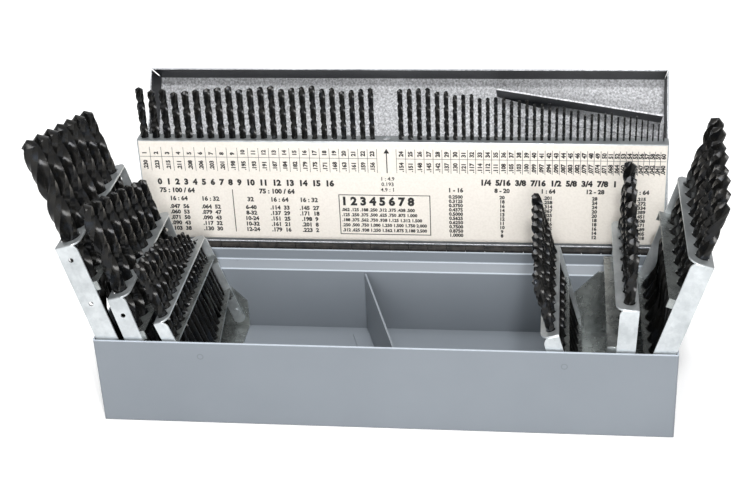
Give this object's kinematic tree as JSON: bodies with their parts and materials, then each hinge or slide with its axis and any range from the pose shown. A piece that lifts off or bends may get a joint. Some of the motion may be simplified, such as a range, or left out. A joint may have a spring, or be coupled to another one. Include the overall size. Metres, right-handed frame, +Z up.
{
  "type": "drill bit drawer case",
  "caption": "Sheet-steel drill case with hinged lid, fold-down rack groups at both ends and a swing-out index of small drills; shown open.",
  "frame": {"origin": "middle of the tray's underside, midway along its length and between its front and back walls", "axes": "+X along the case to the right seen from the front, +Y from the front wall to the hinge, +Z up"},
  "size_m": [0.4373, 0.2272, 0.1989],
  "materials": {
    "case_paint": "semi-matt stove enamel, blue-grey",
    "zinc_plate": "zinc plated with a fine spangle",
    "rivet_steel": "bright rivets",
    "hinge_steel": "painted with the case",
    "black_oxide_steel": "black oxide with bright flute edges",
    "label_sheet": "printed card, cream"
  },
  "bodies": {
    "case": {"base_tray": "case_paint", "tray_divider": "case_paint", "left_rack_carrier": "zinc_plate", "right_rack_carrier": "zinc_plate", "hinge_tray_leaf": "hinge_steel", "hinge_pin": "hinge_steel", "fraction_rack_large_rivets": "rivet_steel", "fraction_rack_medium_rivets": "rivet_steel", "fraction_rack_small_rivets": "rivet_steel", "letter_rack_large_rivets": "rivet_steel", "letter_rack_medium_rivets": "rivet_steel", "letter_rack_small_rivets": "rivet_steel"},
    "lid": {"lid_shell": "case_paint", "hinge_lid_leaf": "hinge_steel", "drill_stop_bracket": "case_paint", "number_index_rivets": "rivet_steel"},
    "number_index": {"number_index_panel": "zinc_plate", "number_index_shelf": "zinc_plate", "number_index_guide": "zinc_plate", "number_index_label": "label_sheet"},
    "number_drills": {"number_drills": "black_oxide_steel"},
    "fraction_rack_large": {"fraction_rack_large_frame": "zinc_plate", "fraction_rack_large_guide": "zinc_plate", "fraction_rack_large_stop": "zinc_plate"},
    "fraction_rack_large_drills": {"fraction_rack_large_drills": "black_oxide_steel"},
    "fraction_rack_medium": {"fraction_rack_medium_frame": "zinc_plate", "fraction_rack_medium_guide": "zinc_plate", "fraction_rack_medium_stop": "zinc_plate"},
    "fraction_rack_medium_drills": {"fraction_rack_medium_drills": "black_oxide_steel"},
    "fraction_rack_small": {"fraction_rack_small_frame": "zinc_plate", "fraction_rack_small_guide": "zinc_plate", "fraction_rack_small_stop": "zinc_plate"},
    "fraction_rack_small_drills": {"fraction_rack_small_drills": "black_oxide_steel"},
    "letter_rack_large": {"letter_rack_large_frame": "zinc_plate", "letter_rack_large_guide": "zinc_plate", "letter_rack_large_stop": "zinc_plate"},
    "letter_rack_large_drills": {"letter_rack_large_drills": "black_oxide_steel"},
    "letter_rack_medium": {"letter_rack_medium_frame": "zinc_plate", "letter_rack_medium_guide": "zinc_plate", "letter_rack_medium_stop": "zinc_plate"},
    "letter_rack_medium_drills": {"letter_rack_medium_drills": "black_oxide_steel"},
    "letter_rack_small": {"letter_rack_small_frame": "zinc_plate", "letter_rack_small_guide": "zinc_plate", "letter_rack_small_stop": "zinc_plate"},
    "letter_rack_small_drills": {"letter_rack_small_drills": "black_oxide_steel"}
  },
  "joints": [
    {"name": "lid_hinge", "type": "hinge", "parent": "case", "child": "lid", "pos_m": [0, 0.0664, 0.0636], "axis": [1, 0, 0], "range_deg": [0, 10]},
    {"name": "index_swing", "type": "hinge", "parent": "lid", "child": "number_index", "pos_m": [0, 0.08518, 0.06497], "axis": [-1, 0, 0], "range_deg": [0, 25]},
    {"name": "number_drills_lift", "type": "slide", "parent": "number_index", "child": "number_drills", "axis": [0, 0, -1], "range_m": [-0.07, 0]},
    {"name": "fraction_rack_large_fold", "type": "hinge", "parent": "case", "child": "fraction_rack_large", "pos_m": [-0.1745, 0, 0.048], "axis": [0, 1, 0], "range_deg": [0, 105]},
    {"name": "fraction_rack_medium_fold", "type": "hinge", "parent": "case", "child": "fraction_rack_medium", "pos_m": [-0.1525, 0, 0.031], "axis": [0, 1, 0], "range_deg": [0, 104.5]},
    {"name": "fraction_rack_small_fold", "type": "hinge", "parent": "case", "child": "fraction_rack_small", "pos_m": [-0.1205, 0, 0.0135], "axis": [0, 1, 0], "range_deg": [0, 109]},
    {"name": "fraction_rack_large_drills_lift", "type": "slide", "parent": "fraction_rack_large", "child": "fraction_rack_large_drills", "axis": [0.2588, 0, -0.9659], "range_m": [-0.095, 0]},
    {"name": "fraction_rack_medium_drills_lift", "type": "slide", "parent": "fraction_rack_medium", "child": "fraction_rack_medium_drills", "axis": [0.2504, 0, -0.9681], "range_m": [-0.075, 0]},
    {"name": "fraction_rack_small_drills_lift", "type": "slide", "parent": "fraction_rack_small", "child": "fraction_rack_small_drills", "axis": [0.3256, 0, -0.9455], "range_m": [-0.072, 0]},
    {"name": "letter_rack_large_fold", "type": "hinge", "parent": "case", "child": "letter_rack_large", "pos_m": [0.1745, 0, 0.048], "axis": [0, -1, 0], "range_deg": [0, 107]},
    {"name": "letter_rack_medium_fold", "type": "hinge", "parent": "case", "child": "letter_rack_medium", "pos_m": [0.1535, 0, 0.031], "axis": [0, -1, 0], "range_deg": [0, 92.5]},
    {"name": "letter_rack_small_fold", "type": "hinge", "parent": "case", "child": "letter_rack_small", "pos_m": [0.1245, 0, 0.0135], "axis": [0, -1, 0], "range_deg": [0, 74.5]},
    {"name": "letter_rack_large_drills_lift", "type": "slide", "parent": "letter_rack_large", "child": "letter_rack_large_drills", "axis": [-0.2924, 0, -0.9563], "range_m": [-0.09, 0]},
    {"name": "letter_rack_medium_drills_lift", "type": "slide", "parent": "letter_rack_medium", "child": "letter_rack_medium_drills", "axis": [-0.0436, 0, -0.999], "range_m": [-0.072, 0]},
    {"name": "letter_rack_small_drills_lift", "type": "slide", "parent": "letter_rack_small", "child": "letter_rack_small_drills", "axis": [0.2672, 0, -0.9636], "range_m": [-0.07, 0]}
  ],
  "couplings": [
    {"joint": "fraction_rack_medium_fold", "follows": "fraction_rack_large_fold", "ratio": 0.99524},
    {"joint": "fraction_rack_small_fold", "follows": "fraction_rack_large_fold", "ratio": 1.0381},
    {"joint": "letter_rack_medium_fold", "follows": "letter_rack_large_fold", "ratio": 0.86448},
    {"joint": "letter_rack_small_fold", "follows": "letter_rack_large_fold", "ratio": 0.69626}
  ]
}
